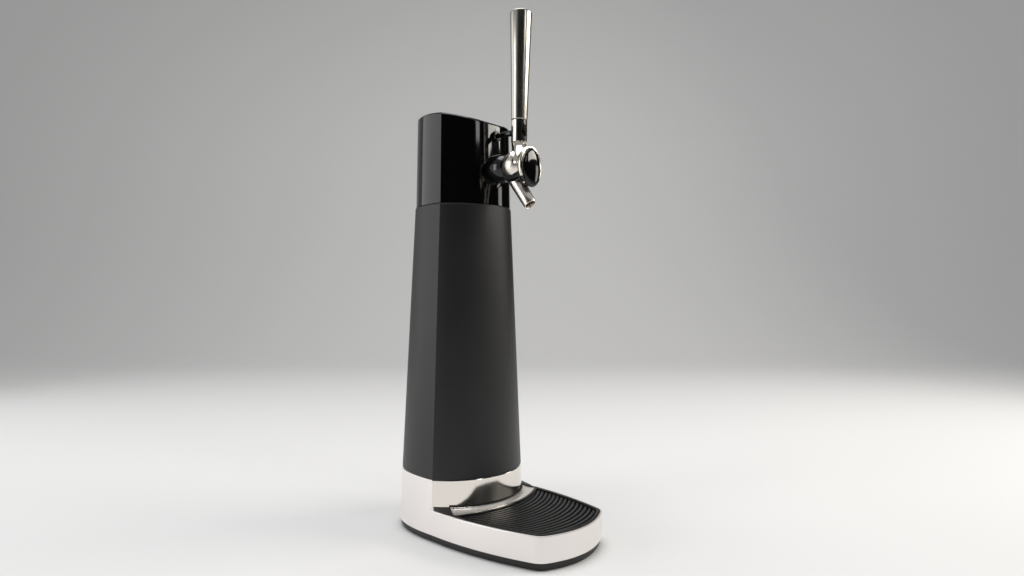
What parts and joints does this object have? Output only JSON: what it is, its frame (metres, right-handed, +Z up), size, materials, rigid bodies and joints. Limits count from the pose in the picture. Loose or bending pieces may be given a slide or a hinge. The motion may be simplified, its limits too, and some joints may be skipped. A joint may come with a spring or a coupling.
{
  "type": "draft beer dispenser",
  "caption": "Countertop draft beer dispenser: tapered tower that lifts off to take a bottle, tap with a tall handle, and a drip tray with a ribbed grille.",
  "frame": {"origin": "on the counter, under the middle of the dispenser's outline", "axes": "+Z up the tower, -Y towards the drinker (tap and drip tray), +X to the right as seen from the front"},
  "size_m": [0.127, 0.2148, 0.5073],
  "materials": {
    "body_plastic": "moulded charcoal, fine matt texture",
    "gloss_plastic": "polished black",
    "silver_finish": "pearl silver, satin outside and polished inside the front wall",
    "chrome_plate": "polished plate",
    "steel": "satin",
    "black_plastic": "moulded black",
    "rubber": "matt",
    "silicone": "translucent white, smooth",
    "board": "green solder mask",
    "cell": "plain sleeve",
    "brass": "bright"
  },
  "bodies": {
    "base": {"base_plinth": "black_plastic", "base_shroud": "silver_finish", "base_core": "black_plastic", "base_gasket": "silicone", "bottle_seat": "rubber", "rubber_foot_1": "rubber", "rubber_foot_2": "rubber", "rubber_foot_3": "rubber", "rubber_foot_4": "rubber", "base_screw_1": "steel", "base_screw_2": "steel", "base_screw_3": "steel", "base_screw_4": "steel"},
    "drip_pan": {"drip_pan": "black_plastic"},
    "drip_grille": {"drip_grille": "black_plastic"},
    "tower": {"body_shell": "body_plastic", "bulkhead_seal": "silicone", "bulkhead_plate": "black_plastic", "cap_shell": "gloss_plastic", "fascia_panel": "gloss_plastic", "cap_screw_1": "steel", "cap_screw_2": "steel", "cap_screw_3": "steel", "cap_screw_4": "steel", "battery_holder": "black_plastic", "battery_cell_1": "cell", "battery_cell_2": "cell", "battery_contact_bottom": "brass", "battery_contact_top": "brass", "pump_head": "black_plastic", "pump_motor": "steel", "tube_gland": "black_plastic", "dip_tube": "silicone", "beer_hose": "silicone", "air_fitting": "black_plastic", "air_hose": "silicone", "circuit_board": "board", "board_bracket": "black_plastic", "pour_switch": "black_plastic", "foam_switch": "black_plastic", "power_inlet": "steel", "collar": "gloss_plastic", "shank_nut": "brass", "foam_transducer": "steel", "rod_bushing": "gloss_plastic", "tap_ball": "chrome_plate", "spout": "chrome_plate", "hinge_block": "gloss_plastic", "hinge_pin": "steel"},
    "lever": {"lever": "chrome_plate", "lever_insert": "gloss_plastic", "ferrule": "chrome_plate", "handle_stud": "steel", "handle": "steel"},
    "push_rod": {"push_rod": "gloss_plastic"},
    "battery_door": {"battery_door": "gloss_plastic"},
    "pump_crank": {"pump_crank": "steel"}
  },
  "joints": [
    {"name": "tower_lift", "type": "slide", "parent": "base", "child": "tower", "axis": [0, 0, 1], "range_m": [0, 0.36]},
    {"name": "drip_pan_lift", "type": "slide", "parent": "base", "child": "drip_pan", "axis": [0, 0, 1], "range_m": [0, 0.04]},
    {"name": "drip_grille_lift", "type": "slide", "parent": "drip_pan", "child": "drip_grille", "axis": [0, 0, 1], "range_m": [0, 0.03]},
    {"name": "lever_hinge", "type": "hinge", "parent": "tower", "child": "lever", "pos_m": [0, -0.04294, 0.3399], "axis": [1, 0, 0], "range_deg": [-3.5, 12], "stiffness_Nm_per_rad": 2, "springref_deg": 0.85},
    {"name": "push_rod_slide", "type": "slide", "parent": "tower", "child": "push_rod", "axis": [0, 1, 0], "range_m": [-0.0107, 0.0033]},
    {"name": "battery_door_slide", "type": "slide", "parent": "tower", "child": "battery_door", "axis": [0, 1, 0], "range_m": [0, 0.03]},
    {"name": "pump_crank_turn", "type": "hinge", "parent": "tower", "child": "pump_crank", "pos_m": [-0.02646, 0.04176, 0.345], "axis": [0, 0, 1], "continuous": true}
  ],
  "couplings": [
    {"joint": "push_rod_slide", "follows": "lever_hinge", "m_per_rad": -0.05}
  ]
}
